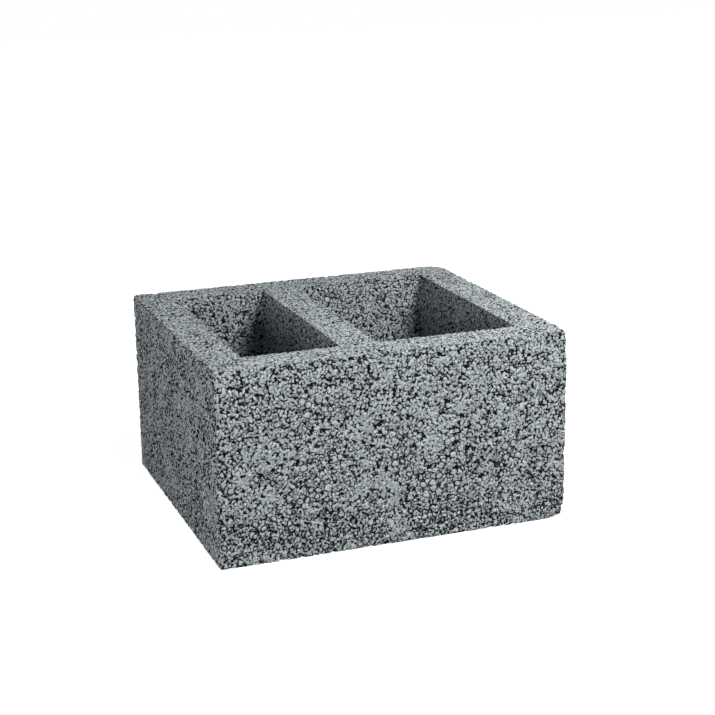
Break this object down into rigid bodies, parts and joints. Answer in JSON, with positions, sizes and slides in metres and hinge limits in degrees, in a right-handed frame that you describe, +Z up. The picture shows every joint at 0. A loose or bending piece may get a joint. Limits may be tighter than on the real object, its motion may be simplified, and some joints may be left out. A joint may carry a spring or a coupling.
{
  "type": "ventilation block",
  "caption": "Open-textured lightweight concrete block with a narrow and a wide upright duct side by side, stacked course on course to build a ventilation shaft in a wall.",
  "frame": {"origin": "centre of the bottom bed of the block, between its outer faces", "axes": "+Z up, from the bottom bed to the top bed, along the ducts; +X along the length, from the narrow duct to the wide duct; +Y to the back"},
  "size_m": [0.37, 0.33, 0.2],
  "materials": {
    "concrete": "matte, open-textured, rounded grey pellets bound with cement"
  },
  "bodies": {
    "root": {"ventilation_block": "concrete"}
  },
  "joints": []
}
